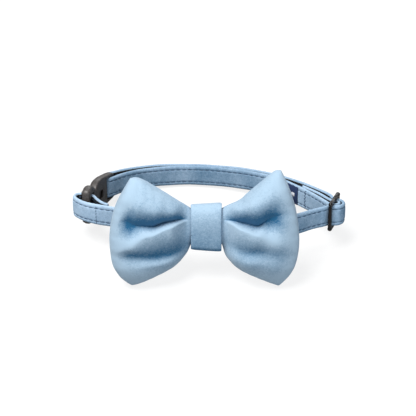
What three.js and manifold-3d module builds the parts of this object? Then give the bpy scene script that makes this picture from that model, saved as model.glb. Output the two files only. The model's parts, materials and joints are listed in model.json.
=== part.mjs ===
// Pet bow tie collar: a padded velvet bow on a narrow velvet strap, which closes with a curved breakaway
// buckle and is adjusted by a three-bar slider. Millimetres, +Z up.
//
// The pieces are laid out in the collar's own frame, where the loop is level: X to the right, Y to the
// back, Z up, the strap's middle line at Z 0 and the bow in front, facing -Y. Off the neck the collar
// leans on the two lower tips of the bow and the back of the strap, and the last lines set it down so.
import * as THREE from "three";
import { mergeVertices } from "three/addons/utils/BufferGeometryUtils.js";
import Module from "manifold-3d";

// ---------------------------------------------------------------- driving dimensions
const GAP = 0.3; // clearance between neighbouring pieces

const STRAP_WIDTH = 10.6;
const STRAP_THICK = 1.9;
const STRAP_EDGE = 0.6; // the folded edges are rounded by this much
const STRAP_STEPS = 4; // stations on each span of the strap's route
const STRAP_FRONT = -19.2; // the strap's middle line behind the bow

const WRAP_LEFT = -8.5;
const WRAP_RIGHT = 6;
const WRAP_TOP = 13.5;
const WRAP_BOTTOM = -8.5;
const WRAP_FRONT = -30.4;
const WRAP_BACK_HEIGHT = 13.6; // flat back, where the wrap passes behind the strap
const WRAP_SHOULDER = 6.7; // depth of the sloping stretch between that back and the full height
const WRAP_THICK = 1.3;
const WRAP_ROUND = 2.6;

const BOW_SEAM = -26; // depth of the bow's edge seams
const BOW_FRONT = 12.5; // how far the padding stands forward of the seams
const BOW_BACK = 4.6; // and back from them
const BOW_COLUMNS = 13; // from wrap to side, on each lobe
const BOW_ROWS = 18; // from lower to upper seam, on each face

const BUCKLE_START = new THREE.Vector2(-60.2, 1); // end of the clip's bar, in the strap's sewn loop
const BUCKLE_END = new THREE.Vector2(-49.8, 32.4); // end of the socket's bar
const BUCKLE_RADIUS = 90; // the buckle is curved to the neck
const BUCKLE_THICK = 4.4;
const BUCKLE_HALF = 9.6; // half of its width, which stands upright
const CLIP_BAR = 3.4;
const CLIP_SLOT = 4.4;
const CLIP_LENGTH = 11.4;
const CLIP_WAIST = 5.6; // half height where the clip meets the socket
const SOCKET_BAR = 3;
const SOCKET_BAR_THICK = 2.6;
const SOCKET_SLOT = 5.6;
const SLOT_HALF = 5.9; // half height of both strap slots
const TONGUE_LENGTH = 9.5;
const TONGUE_HALF = 2.9;
const TONGUE_THICK = 1.8;
const TONGUE_ROOM = 0.8; // left in the socket beyond the tongue's end
const BARB = 0.7; // how far the catches stand out from the tongue's edges
const WINDOW_HALF = 2.2; // half height of the window over the tongue, in the socket's inner face
const PROFILE_STEPS = 3;

const SLIDER_MIDDLE = new THREE.Vector2(60.6, -3); // centre of the slider's middle bar
const SLIDER_TURN = 70; // degrees from +X to the line through its three bars
const SLIDER_PITCH = 7;
const SLIDER_BAR = 1.9; // width of each bar, along that line
const SLIDER_THICK = 1.5;
const SLIDER_OPEN = 11.4; // height of its openings
const SLIDER_RAIL = 1.6; // height of the rails above and below them
const SLIDER_CORNER = 1.8;

const LABEL_HEIGHT = 9.4;
const LABEL_THICK = 0.5;
const LABEL_FROM = 55.85; // places on the strap's route between which the label lies, counted in rows
const LABEL_TO = 57.12;
const LABEL_STEPS = 8;

// The strap's middle line: columns x, y.
// It starts at the end sewn round the clip's bar and ends at the end sewn round the slider's middle bar.
const STRAP_ROUTE = [
  [-48.9, -5.4], // sewn end at the clip
  [-51.2, -3.6],
  [-53.3, -0.9],
  [-55, 2],
  [-56.1, 4.4],
  [-57.7, 6.1], // through the clip's slot
  [-59.8, 7],
  [-62.7, 8],
  [-65, 7.3],
  [-65.9, 4.4],
  [-64, 0.9],
  [-60, -3],
  [-54.9, -5.9],
  [-48.5, -8.3],
  [-39, -11.8], // behind the bow
  [-28, -15.4],
  [-17, -18.3],
  [-9.5, STRAP_FRONT],
  [-1, STRAP_FRONT],
  [7, STRAP_FRONT],
  [16, -19.8],
  [27, -20.1],
  [36, -19.3],
  [42.8, -16.6],
  [48, -13],
  [52.6, -10.2],
  [55.2, -8.9], // inside the slider's front bar
  [56.7, -7.8],
  [57.9, -7.2],
  [59.1, -7.4],
  [62.5, -7.3], // over the middle bar
  [64.9, -4.6],
  [64.8, -1.1],
  [62.2, 1.3],
  [61, 2],
  [60.3, 3.3], // inside the back bar
  [59.9, 5.3],
  [58.1, 8.6],
  [53.7, 14.1],
  [47.5, 20.9],
  [35.5, 31.2], // outer layer, round the back of the neck
  [15.6, 41.1],
  [-9.9, 45.6],
  [-30.5, 44.3],
  [-43.2, 39.4],
  [-48.7, 36.2],
  [-52.8, 33.4],
  [-54.8, 30.2], // through the socket's slot and round its bar
  [-54.2, 27.4],
  [-51.9, 26.2],
  [-49.2, 28],
  [-45.3, 32.2],
  [-38.7, 36.8],
  [-30.4, 40.4], // inner layer, back again
  [-9.9, 43.3],
  [15.2, 38.4],
  [34.2, 28.6],
  [44.2, 17.3],
  [51.5, 7.1],
  [55.6, 0.2],
  [57.9, -3.9],
  [59.8, -5.2],
  [61.6, -5.1], // round the middle bar
  [62.9, -3.8],
  [62.8, -2],
  [61.4, -0.7],
  [60, -0.4],
  [58.7, 1],
  [57.3, 3.2],
  [53.2, 9.6],
  [47, 17.3], // sewn end at the slider, between the two layers
];

// Edges of the bow's two lobes: columns x, z. Upper and lower edges start at the wrap, and the side runs
// from the upper corner to the lower one.
const LOBES = [
  {
    wrapEdge: WRAP_LEFT,
    upper: [[-8.5, 11.3], [-14.4, 15.8], [-23.5, 22.1], [-29.5, 26], [-33.4, 27.6], [-36.4, 27.2]],
    side: [[-36.4, 27.2], [-42, 17.1], [-44.7, 10], [-46.4, 1.4], [-46.5, -6.5], [-45.5, -15], [-42, -22.2],
      [-36.6, -28]],
    lower: [[-8.5, -6.8], [-10.4, -11], [-13.9, -15.2], [-17.9, -18.6], [-29.8, -25.2], [-36.6, -28]],
  },
  {
    wrapEdge: WRAP_RIGHT,
    upper: [[6, 11.3], [9.7, 13.6], [14.7, 16.6], [18.1, 20], [27.9, 29.1], [30.6, 31], [33, 31.2]],
    side: [[33, 31.2], [36.3, 24.2], [38.8, 17.1], [40.6, 10.4], [42.2, -1], [41.5, -12], [38.8, -20],
      [33.2, -28.2]],
    lower: [[6, -6.8], [7.6, -11.8], [9.9, -14.8], [13.9, -18.6], [21.8, -23], [33.2, -28.2]],
  },
];

// Folds pressed into the front of each lobe by the wrap. Columns: height beside the wrap and at the side,
// from -1 at the lower edge to 1 at the upper; half width; depth; share of the lobe that it crosses.
const FOLDS = [
  { near: 0.3, far: 0.12, spread: 0.24, depth: 8, reach: 0.86 },
  { near: -0.62, far: -0.3, spread: 0.16, depth: 2, reach: 0.8 },
];

// ---------------------------------------------------------------- meshes and solids
const wasm = await Module();
wasm.setup();

function meshGeometry(positions, faces) {
  const geometry = new THREE.BufferGeometry();
  geometry.setAttribute("position", new THREE.Float32BufferAttribute(positions, 3));
  geometry.setIndex(faces);
  return geometry;
}

function solid(geometry) {
  const bare = geometry.clone();
  bare.deleteAttribute("normal");
  bare.deleteAttribute("uv");
  const merged = mergeVertices(bare, 1e-4);
  return new wasm.Manifold(
    new wasm.Mesh({
      numProp: 3,
      vertProperties: merged.attributes.position.array,
      triVerts: new Uint32Array(merged.index.array),
    }),
  );
}

function geometryOf(made) {
  const { vertProperties, triVerts } = made.getMesh();
  return meshGeometry(vertProperties, Array.from(triVerts));
}

function extrude(shape, depth, curveSegments = 6) {
  return new THREE.ExtrudeGeometry(shape, { depth, bevelEnabled: false, curveSegments });
}

function box(width, depth, height, x, y, z) {
  return solid(new THREE.BoxGeometry(width, depth, height).translate(x, y, z));
}

function piece(name, geometry, color, roughness, metalness) {
  const flat = geometry.index ? geometry.toNonIndexed() : geometry;
  flat.computeVertexNormals();
  const mesh = new THREE.Mesh(flat, new THREE.MeshStandardMaterial({ color, roughness, metalness }));
  mesh.name = name;
  return mesh;
}

// ---------------------------------------------------------------- strap and label: upright flat bands
const strapCurve = new THREE.CatmullRomCurve3(
  STRAP_ROUTE.map(([x, y]) => new THREE.Vector3(x, y, 0)),
  false,
  "centripetal",
);
const route = strapCurve.getPoints((STRAP_ROUTE.length - 1) * STRAP_STEPS);

function sideOf(line, i) {
  const before = line[Math.max(i - 1, 0)];
  const after = line[Math.min(i + 1, line.length - 1)];
  return new THREE.Vector2(before.y - after.y, after.x - before.x).normalize();
}

function band(line, width, thick, edge) {
  const z = width / 2;
  const n = thick / 2;
  const section = [
    [n, z - edge],
    [n - edge, z],
    [edge - n, z],
    [-n, z - edge],
    [-n, edge - z],
    [edge - n, -z],
    [n - edge, -z],
    [n, edge - z],
  ];
  const positions = [];
  line.forEach((point, i) => {
    const side = sideOf(line, i);
    for (const [across, up] of section) {
      positions.push(point.x + side.x * across, point.y + side.y * across, up);
    }
  });
  const faces = [];
  const count = section.length;
  for (let i = 0; i + 1 < line.length; i++) {
    for (let j = 0; j < count; j++) {
      const a = i * count + j;
      const b = i * count + ((j + 1) % count);
      faces.push(a, b, a + count, b, b + count, a + count);
    }
  }
  const last = (line.length - 1) * count;
  for (let j = 1; j + 1 < count; j++) {
    faces.push(0, j + 1, j, last, last + j, last + j + 1);
  }
  return meshGeometry(positions, faces);
}

// The inner layer runs towards the slider with the neck on its right, so the label lies on that side.
function labelLine() {
  const inwards = STRAP_THICK / 2 + GAP + LABEL_THICK / 2;
  const under = Array.from({ length: LABEL_STEPS + 1 }, (_, i) => {
    const row = THREE.MathUtils.lerp(LABEL_FROM, LABEL_TO, i / LABEL_STEPS);
    return strapCurve.getPoint(row / (STRAP_ROUTE.length - 1));
  });
  return under.map((point, i) => sideOf(under, i).multiplyScalar(-inwards).add(point));
}

// ---------------------------------------------------------------- slider: a frame with three upright bars
function sliderFrame() {
  const length = 2 * SLIDER_PITCH + SLIDER_BAR;
  const height = SLIDER_OPEN + 2 * SLIDER_RAIL;
  const corner = SLIDER_CORNER;
  const x = length / 2;
  const z = height / 2;
  const outline = new THREE.Shape();
  outline.moveTo(-x + corner, -z);
  outline.absarc(x - corner, -z + corner, corner, -Math.PI / 2, 0);
  outline.absarc(x - corner, z - corner, corner, 0, Math.PI / 2);
  outline.absarc(-x + corner, z - corner, corner, Math.PI / 2, Math.PI);
  outline.absarc(-x + corner, -z + corner, corner, Math.PI, Math.PI * 1.5);
  const plate = solid(
    extrude(outline, SLIDER_THICK, 4).translate(0, 0, -SLIDER_THICK / 2).rotateX(Math.PI / 2),
  );
  const open = SLIDER_PITCH - SLIDER_BAR;
  return [-1, 1].reduce(
    (made, side) =>
      made.subtract(box(open, SLIDER_THICK * 2, SLIDER_OPEN, (side * SLIDER_PITCH) / 2, 0, 0)),
    plate,
  );
}

// ---------------------------------------------------------------- buckle: clip and socket on one arc
// Both halves are made with the arc's middle on +Y, s running along it from the clip to the socket.
const buckleChord = BUCKLE_START.distanceTo(BUCKLE_END);
const buckleLength = 2 * BUCKLE_RADIUS * Math.asin(buckleChord / (2 * BUCKLE_RADIUS));

function arcAngle(s) {
  return Math.PI / 2 + (buckleLength / 2 - s) / BUCKLE_RADIUS;
}

function arcBlock(from, to, inner, outer, half) {
  const shape = new THREE.Shape();
  shape.absarc(0, 0, BUCKLE_RADIUS + outer, arcAngle(to), arcAngle(from));
  shape.absarc(0, 0, BUCKLE_RADIUS + inner, arcAngle(from), arcAngle(to), true);
  return solid(extrude(shape, 2 * half, 8).translate(0, 0, -half));
}

// The outline seen square on to the buckle, extruded right through it.
function sideProfile(rows) {
  const corners = rows.map(({ s, half }) => new THREE.Vector2(s - buckleLength / 2, half));
  const upper = new THREE.SplineCurve(corners);
  const points = upper.getPoints(rows.length * PROFILE_STEPS);
  const lower = points.map((p) => new THREE.Vector2(p.x, -p.y)).reverse();
  const shape = new THREE.Shape([...points, ...lower]);
  const depth = 20;
  return solid(extrude(shape, depth).rotateX(Math.PI / 2).translate(0, BUCKLE_RADIUS + depth / 2, 0));
}

function clip() {
  const half = BUCKLE_THICK / 2;
  const profile = sideProfile([
    { s: 0, half: 7 },
    { s: 0.5, half: 8.2 },
    { s: 2, half: 9.2 },
    { s: 5, half: BUCKLE_HALF },
    { s: 8, half: 8.8 },
    { s: 10, half: 7.2 },
    { s: CLIP_LENGTH, half: CLIP_WAIST },
  ]);
  const tongueEnd = CLIP_LENGTH + TONGUE_LENGTH;
  const tongueFace = TONGUE_THICK / 2;
  return arcBlock(0, CLIP_LENGTH, -half, half, BUCKLE_HALF)
    .intersect(profile)
    .subtract(arcBlock(CLIP_BAR, CLIP_BAR + CLIP_SLOT, -BUCKLE_THICK, BUCKLE_THICK, SLOT_HALF))
    .add(arcBlock(CLIP_LENGTH - 1, tongueEnd, -tongueFace, tongueFace, TONGUE_HALF))
    .add(arcBlock(tongueEnd - 3, tongueEnd - 1, -tongueFace, tongueFace, TONGUE_HALF + BARB));
}

function socket() {
  const half = BUCKLE_THICK / 2;
  const start = CLIP_LENGTH + GAP;
  const end = buckleLength;
  const profile = sideProfile([
    { s: start, half: CLIP_WAIST },
    { s: start + 2, half: 7.2 },
    { s: start + 5, half: 8.3 },
    { s: start + 8, half: 8.3 },
    { s: end - 9, half: 7.8 },
    { s: end - 5, half: 7.3 },
    { s: end - 2, half: 6.8 },
    { s: end, half: 5.6 },
  ]);
  const barFrom = end - SOCKET_BAR;
  const slot = arcBlock(barFrom - SOCKET_SLOT, barFrom, -BUCKLE_THICK, BUCKLE_THICK, SLOT_HALF);
  const mouthEnd = CLIP_LENGTH + TONGUE_LENGTH + TONGUE_ROOM;
  const mouthHalf = TONGUE_HALF + BARB + GAP;
  const mouth = arcBlock(start - 1, mouthEnd, -TONGUE_THICK / 2 - GAP, TONGUE_THICK / 2 + GAP, mouthHalf);
  const window = arcBlock(start + 4, mouthEnd - 1.5, -BUCKLE_THICK, 0, WINDOW_HALF);
  const aboveBar = arcBlock(barFrom - 0.1, end + 1, SOCKET_BAR_THICK / 2, BUCKLE_THICK, SLOT_HALF);
  const belowBar = arcBlock(barFrom - 0.1, end + 1, -BUCKLE_THICK, -SOCKET_BAR_THICK / 2, SLOT_HALF);
  return [slot, mouth, window, aboveBar, belowBar].reduce(
    (made, cut) => made.subtract(cut),
    arcBlock(start, end, -half, half, BUCKLE_HALF).intersect(profile),
  );
}

// ---------------------------------------------------------------- wrap: a band round the bow and the strap
const wrapBack = STRAP_FRONT + STRAP_THICK / 2 + GAP + WRAP_THICK;

// Corners of the wrap's outline seen from the side (y, z), moved in by the given distance.
function wrapCorners(inset) {
  const back = WRAP_BACK_HEIGHT / 2;
  const shoulder = wrapBack - WRAP_SHOULDER;
  const corners = [
    [WRAP_FRONT, WRAP_BOTTOM],
    [shoulder, WRAP_BOTTOM],
    [wrapBack, -back],
    [wrapBack, back],
    [shoulder, WRAP_TOP],
    [WRAP_FRONT, WRAP_TOP],
  ].map(([y, z]) => new THREE.Vector2(y, z));
  return corners.map((corner, i) => {
    const arriving = corner.clone().sub(corners.at(i - 1)).normalize();
    const leaving = corners[(i + 1) % corners.length].clone().sub(corner).normalize();
    const left = (v) => new THREE.Vector2(-v.y, v.x);
    const bisector = left(arriving).add(left(leaving)).normalize();
    return corner.addScaledVector(bisector, inset / bisector.dot(left(leaving)));
  });
}

function roundedLoop(corners, radius, path) {
  corners.forEach((corner, i) => {
    const before = corners.at(i - 1).clone().sub(corner).setLength(radius).add(corner);
    const after = corners[(i + 1) % corners.length].clone().sub(corner).setLength(radius).add(corner);
    if (i === 0) {
      path.moveTo(before.x, before.y);
    } else {
      path.lineTo(before.x, before.y);
    }
    path.quadraticCurveTo(corner.x, corner.y, after.x, after.y);
  });
  path.closePath();
  return path;
}

function wrap() {
  const outline = roundedLoop(wrapCorners(0), WRAP_ROUND, new THREE.Shape());
  outline.holes.push(roundedLoop(wrapCorners(WRAP_THICK), WRAP_ROUND - WRAP_THICK, new THREE.Path()));
  // The outline's (y, z) is turned to stand across X.
  const stand = new THREE.Matrix4().makeBasis(
    new THREE.Vector3(0, 1, 0),
    new THREE.Vector3(0, 0, 1),
    new THREE.Vector3(1, 0, 0),
  );
  return extrude(outline, WRAP_RIGHT - WRAP_LEFT, 4).applyMatrix4(stand).translate(WRAP_LEFT, 0, 0);
}

// ---------------------------------------------------------------- bow: a padded pillow, pinched at the wrap
const waistFront = WRAP_FRONT + WRAP_THICK + GAP;
const waistBack = STRAP_FRONT - STRAP_THICK / 2 - GAP;

function edgeCurve(rows) {
  return new THREE.SplineCurve(rows.map(([x, z]) => new THREE.Vector2(x, z)));
}

// A place on a lobe's face: out from 0 at the wrap to 1 at the side, up from 0 to 1 between the edges.
function lobePlace({ wrapEdge, upper, lower, side }, out, up) {
  const top = edgeCurve(upper).getPoint(out);
  const bottom = edgeCurve(lower).getPoint(out);
  const far = edgeCurve(side).getPoint(1 - up);
  const near = new THREE.Vector2(wrapEdge, THREE.MathUtils.lerp(lower[0][1], upper[0][1], up));
  const corners = [lower[0], lower.at(-1), upper[0], upper.at(-1)].map(([x, z]) => new THREE.Vector2(x, z));
  const [nearLow, farLow, nearHigh, farHigh] = corners;
  const flat = nearLow.lerp(farLow, out).lerp(nearHigh.lerp(farHigh, out), up);
  return bottom.lerp(top, up).add(near.lerp(far, out)).sub(flat);
}

function swell(share, power) {
  return (1 - Math.abs(share) ** power) ** (1 / power);
}

function frontDepth(out, w) {
  const rise = Math.sin(Math.PI * Math.min(out + 0.12, 1) * 0.62);
  const puff = BOW_FRONT * rise * swell(out, 3) * swell(w, 2.4);
  const pressed = FOLDS.reduce((sum, { near, far, spread, depth, reach }) => {
    const middle = THREE.MathUtils.lerp(near, far, out);
    const run = Math.sin(Math.PI * Math.min(out / reach, 1));
    return sum + depth * run * Math.exp(-(((w - middle) / spread) ** 2));
  }, 0);
  return Math.max(puff - pressed, 0.25 * puff);
}

function bow() {
  const columns = [];
  const [left, right] = LOBES;
  for (let i = BOW_COLUMNS; i >= 0; i--) {
    columns.push({ lobe: left, out: i / BOW_COLUMNS });
  }
  for (let i = 0; i <= BOW_COLUMNS; i++) {
    columns.push({ lobe: right, out: i / BOW_COLUMNS });
  }
  const waistDepth = (waistBack - waistFront) / 2;
  const waistMiddle = (waistBack + waistFront) / 2;
  const around = 2 * BOW_ROWS;
  const positions = [];
  for (const { lobe, out } of columns) {
    const toLobe = THREE.MathUtils.smoothstep(out, 0, 0.35);
    for (let j = 0; j < around; j++) {
      const onFront = j <= BOW_ROWS;
      const up = (1 - Math.cos((Math.PI * (onFront ? j : around - j)) / BOW_ROWS)) / 2;
      const w = 2 * up - 1;
      const place = lobePlace(lobe, out, up);
      const pinched = waistMiddle + (onFront ? -1 : 1) * waistDepth * swell(w, 2.2);
      const padded = onFront
        ? BOW_SEAM - frontDepth(out, w)
        : BOW_SEAM + BOW_BACK * swell(out, 3) * swell(w, 2.4);
      positions.push(place.x, THREE.MathUtils.lerp(pinched, padded, toLobe), place.y);
    }
  }
  const faces = [];
  for (let i = 0; i + 1 < columns.length; i++) {
    for (let j = 0; j < around; j++) {
      const a = i * around + j;
      const b = i * around + ((j + 1) % around);
      faces.push(a, a + around, b, b, a + around, b + around);
    }
  }
  return meshGeometry(positions, faces);
}

// ---------------------------------------------------------------- the collar
const velvet = 0x9dbbd8;
const plastic = 0x3b3734;

const collar = new THREE.Group();
collar.add(piece("bow", bow(), velvet, 0.9, 0));
collar.add(piece("bow_wrap", wrap(), velvet, 0.9, 0));
collar.add(piece("strap", band(route, STRAP_WIDTH, STRAP_THICK, STRAP_EDGE), 0x7f9fc0, 0.9, 0));
collar.add(piece("label", band(labelLine(), LABEL_HEIGHT, LABEL_THICK, 0.1), 0x1f3156, 0.8, 0));

const slider = new THREE.Group();
slider.position.set(SLIDER_MIDDLE.x, SLIDER_MIDDLE.y, 0);
slider.rotation.z = THREE.MathUtils.degToRad(SLIDER_TURN);
slider.add(piece("slider", geometryOf(sliderFrame()), 0x26221f, 0.35, 0.9));
collar.add(slider);

const buckle = new THREE.Group();
const buckleTurn = BUCKLE_END.clone().sub(BUCKLE_START).angle();
const chordMiddle = BUCKLE_START.clone().lerp(BUCKLE_END, 0.5);
const chordHeight = BUCKLE_RADIUS * Math.cos(buckleLength / 2 / BUCKLE_RADIUS);
const arcCentre = new THREE.Vector2(0, -chordHeight).rotateAround(new THREE.Vector2(), buckleTurn);
arcCentre.add(chordMiddle);
buckle.position.set(arcCentre.x, arcCentre.y, 0);
buckle.rotation.z = buckleTurn;
buckle.add(piece("buckle_clip", geometryOf(clip()), plastic, 0.5, 0));
buckle.add(piece("buckle_socket", geometryOf(socket()), plastic, 0.5, 0));
collar.add(buckle);

// Set down on the bow's lower tips and the back of the strap.
const tipHeight = -LOBES[0].side.at(-1)[1];
const backOfStrap = Math.max(...route.map((point) => point.y)) + STRAP_THICK / 2;
collar.rotation.x = -Math.atan2(tipHeight - STRAP_WIDTH / 2, backOfStrap - BOW_SEAM);

const standing = new THREE.Group();
standing.add(collar);
standing.updateMatrixWorld(true);
const extent = new THREE.Box3().setFromObject(standing, true);
const middle = extent.getCenter(new THREE.Vector3());
collar.position.set(-middle.x, -middle.y, -extent.min.z);

export default standing;
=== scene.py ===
import json
import math

import bpy
import numpy as np
from mathutils import Matrix, Vector, noise


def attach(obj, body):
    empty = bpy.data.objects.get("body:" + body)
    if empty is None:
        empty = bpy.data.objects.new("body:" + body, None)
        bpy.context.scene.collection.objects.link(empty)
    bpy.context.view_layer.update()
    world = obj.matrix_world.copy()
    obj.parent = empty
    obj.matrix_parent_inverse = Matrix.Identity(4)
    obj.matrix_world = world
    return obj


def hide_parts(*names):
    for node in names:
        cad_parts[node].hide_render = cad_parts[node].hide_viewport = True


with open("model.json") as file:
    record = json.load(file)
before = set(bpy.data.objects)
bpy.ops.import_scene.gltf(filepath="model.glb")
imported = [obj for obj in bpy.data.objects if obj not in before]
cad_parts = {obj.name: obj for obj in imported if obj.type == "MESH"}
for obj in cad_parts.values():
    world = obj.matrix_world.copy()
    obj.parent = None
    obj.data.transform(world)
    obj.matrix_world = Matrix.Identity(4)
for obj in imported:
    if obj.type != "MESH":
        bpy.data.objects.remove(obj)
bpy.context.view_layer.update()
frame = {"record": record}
bpy.ops.object.select_all(action="DESELECT")

# ---- The collar's own frame
# The collar leans on the bow's lower tips and the back of the strap, so its loop is tipped. Its pieces
# are laid out with the loop level, X to the slider, Y to the back of the neck and Z up, in millimetres.
# The flat back of the wrap, where it rests on the throat, tells where that level frame stands.
MM = 0.001
THROAT = Vector((-1.25, -16.65, 0)) * MM
throat = next(m for m in frame["record"]["mounts"] if m["name"] == "throat_face")
across = Vector((1, 0, 0))
backward = Vector(throat["axis"]).normalized()
upward = across.cross(backward)
turn = Matrix((across, backward, upward)).transposed()
stand = Matrix.Translation(Vector(throat["pos_m"]) - turn @ THROAT)
collar_frame = stand @ turn.to_4x4() @ Matrix.Scale(MM, 4)


def place(points):
    """Millimetres in the collar's level frame to metres in the row's frame."""
    points = np.asarray(points, dtype=float)
    return points @ np.array(collar_frame.to_3x3()).T + np.array(collar_frame.translation)


# ---- Camera, floor and lights
# One long lens looks down on the bow, with a pale floor under it. The main light is soft, from the upper
# left, with weaker ones low at the front right and behind.
VIEW_DISTANCE = 600
VIEW_ELEVATION = math.radians(24)
AIM = (-0.5, 0.5)
LENS = 106.4
FLOOR_SIZE = 6
FLOOR_CLEAR = 0.0002
LIGHTS_AIM = Vector((0, 0, 0.02))
eye = collar_frame @ Vector((
    AIM[0],
    AIM[1] * math.sin(VIEW_ELEVATION) - VIEW_DISTANCE * math.cos(VIEW_ELEVATION),
    AIM[1] * math.cos(VIEW_ELEVATION) + VIEW_DISTANCE * math.sin(VIEW_ELEVATION),
))
look = turn @ Vector((0, math.cos(VIEW_ELEVATION), -math.sin(VIEW_ELEVATION)))
bpy.ops.object.camera_add(location=eye, rotation=look.to_track_quat("-Z", "Y").to_euler())
camera = bpy.context.active_object
camera.data.sensor_width = 36
camera.data.lens = LENS
camera.data.clip_start = 0.01
bpy.context.scene.camera = camera

bpy.ops.mesh.primitive_plane_add(size=FLOOR_SIZE, location=(0, 0, -FLOOR_CLEAR))
floor = bpy.context.active_object
floor.name = "floor"
# The paper floor looks near white to the lens but throws little light back up into the folds.
floor_paper = bpy.data.materials.new("pale paper")
floor_paper.use_nodes = True
nodes, links = floor_paper.node_tree.nodes, floor_paper.node_tree.links
nodes.clear()
matte = nodes.new("ShaderNodeBsdfDiffuse")
matte.inputs["Color"].default_value = (0.22, 0.222, 0.224, 1)
lift = nodes.new("ShaderNodeEmission")
lift.inputs["Strength"].default_value = 0.80
both = nodes.new("ShaderNodeAddShader")
seen = nodes.new("ShaderNodeLightPath")
choose = nodes.new("ShaderNodeMixShader")
out = nodes.new("ShaderNodeOutputMaterial")
links.new(matte.outputs[0], both.inputs[0])
links.new(lift.outputs[0], both.inputs[1])
links.new(seen.outputs["Is Camera Ray"], choose.inputs[0])
links.new(matte.outputs[0], choose.inputs[1])
links.new(both.outputs[0], choose.inputs[2])
links.new(choose.outputs[0], out.inputs["Surface"])
floor.data.materials.append(floor_paper)

for name, spot, size, power, tint in (
    ("key", (-0.26, -0.13, 0.80), 0.40, 7.9, (1, 0.99, 0.97)),
    ("fill", (0.26, -0.76, 0.16), 0.6, 2.8, (0.90, 0.96, 1)),
    ("back", (0.12, 0.75, 0.38), 0.6, 2.2, (0.95, 0.98, 1)),
):
    bpy.ops.object.light_add(type="AREA", location=spot)
    light = bpy.context.active_object
    light.name = name
    light.data.size = size
    light.data.energy = power
    light.data.color = tint
    light.rotation_euler = (LIGHTS_AIM - Vector(spot)).to_track_quat("-Z", "Y").to_euler()

world = bpy.data.worlds.new("studio")
world.use_nodes = True
world.node_tree.nodes["Background"].inputs["Color"].default_value = (0.95, 0.97, 1, 1)
world.node_tree.nodes["Background"].inputs["Strength"].default_value = 0.28
bpy.context.scene.world = world
bpy.context.scene.view_settings.view_transform = "Standard"

# ---- Strap
# One velvet strap over black webbing, topstitched along both edges. It is sewn round the clip's bar, runs
# behind the bow, through the slider and round the back of the neck, turns in the socket and comes back
# inside itself to be sewn round the slider's middle bar.
STRAP_WIDTH = 10.6
STRAP_THICK = 1.9
ROW_INSET = 1.95
STITCH = 3.0
STATIONS = 1000
THINNEST = 0.02
EDGE_POWER = 7
EDGE_ROUND = 0.45
# Depths of the groove along each row, of the nip at each stitch, of the slack between the rows and of the
# notches in the folded edges, with the groove's half width and how far the edges waver up and down.
ROW_GROOVE = 0.16
STITCH_NIP = 0.1
PUCKER = 0.06
SCALLOP = 0.06
GROOVE_REACH = 0.42
WAVER = 0.05
# Painted light and shade along the strap's run: lighter along the front left, darker along the front right,
# by the slider and along the inner layer at the back: distance, shade.
STRAP_PAINTED_SHADE = ((0, 0), (20, -0.15), (45, -0.15), (80, 0), (120, 0.12), (158, 0.12), (168, 0.2), (185, 0.1),
               (320, 0.1), (335, 0.22), (390, 0.22), (425, 0.05), (450, 0))
STRAP_ROUTE = (
    (-48.9, -5.4), (-51.2, -3.6), (-53.3, -0.9), (-55, 2), (-56.1, 4.4), (-57.7, 6.1), (-59.8, 7),
    (-62.7, 8), (-65, 7.3), (-65.9, 4.4), (-64, 0.9), (-60, -3), (-54.9, -5.9), (-48.5, -8.3),
    (-39, -11.8), (-28, -15.4), (-17, -18.3), (-9.5, -19.2), (-1, -19.2), (7, -19.2), (16, -19.8),
    (27, -20.1), (36, -19.3), (42.8, -16.6), (48, -13), (52.6, -10.2), (55.2, -8.9), (56.7, -7.8),
    (57.9, -7.2), (59.1, -7.4), (62.5, -7.3), (64.9, -4.6), (64.8, -1.1), (62.2, 1.3), (61, 2),
    (60.3, 3.3), (59.9, 5.3), (58.1, 8.6), (53.7, 14.1), (47.5, 20.9), (35.5, 31.2), (15.6, 41.1),
    (-9.9, 45.6), (-30.5, 44.3), (-43.2, 39.4), (-48.7, 36.2), (-52.8, 33.4), (-54.8, 30.2),
    (-54.2, 27.4), (-51.9, 26.2), (-49.2, 28), (-45.3, 32.2), (-38.7, 36.8), (-30.4, 40.4),
    (-9.9, 43.3), (15.2, 38.4), (34.2, 28.6), (44.2, 17.3), (51.5, 7.1), (55.6, 0.2), (57.9, -3.9),
    (59.8, -5.2), (61.6, -5.1), (62.9, -3.8), (62.8, -2), (61.4, -0.7), (60, -0.4), (58.7, 1),
    (57.3, 3.2), (53.2, 9.6), (47, 17.3),
)


def smooth_through(rows, steps, power=0.25):
    """A Catmull-Rom curve through the rows, centripetal at power 0.25 and uniform at 0."""
    rows = np.asarray(rows, dtype=float)
    ends = np.vstack([2 * rows[0] - rows[1], rows, 2 * rows[-1] - rows[-2]])
    t = np.linspace(0, 1, steps, endpoint=False)[:, None]
    spans = []
    for a, b, c, d in zip(ends, ends[1:], ends[2:], ends[3:]):
        before, here, after = (max(((q - p) @ (q - p)) ** power, 1e-4) for p, q in ((a, b), (b, c), (c, d)))
        leave = ((b - a) / before - (c - a) / (before + here) + (c - b) / here) * here
        arrive = ((c - b) / here - (d - b) / (here + after) + (d - c) / after) * here
        spans.append(
            b + leave * t + (3 * (c - b) - 2 * leave - arrive) * t**2 + (2 * (b - c) + leave + arrive) * t**3
        )
    return np.vstack([*spans, rows[-1:]])


def evenly(points, count):
    """The same line with its points evenly spaced, and each point's distance along it."""
    run = np.concatenate([[0], np.cumsum(np.linalg.norm(np.diff(points, axis=0), axis=1))])
    at = np.linspace(0, run[-1], count)
    return np.stack([np.interp(at, run, points[:, k]) for k in range(points.shape[1])], axis=1), at


def sides(line):
    """The level direction square to an upright band's line, to its left."""
    ahead = np.gradient(line, axis=0)
    ahead /= np.linalg.norm(ahead, axis=1)[:, None]
    return np.stack([-ahead[:, 1], ahead[:, 0]], axis=1)


def ring_faces(rows, columns):
    """Quads between rings of points, one ring in each row."""
    i, j = np.meshgrid(np.arange(rows - 1), np.arange(columns), indexing="ij")
    a = (i * columns + j).ravel()
    b = (i * columns + (j + 1) % columns).ravel()
    return np.stack([a, b, b + columns, a + columns], axis=1)


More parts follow.
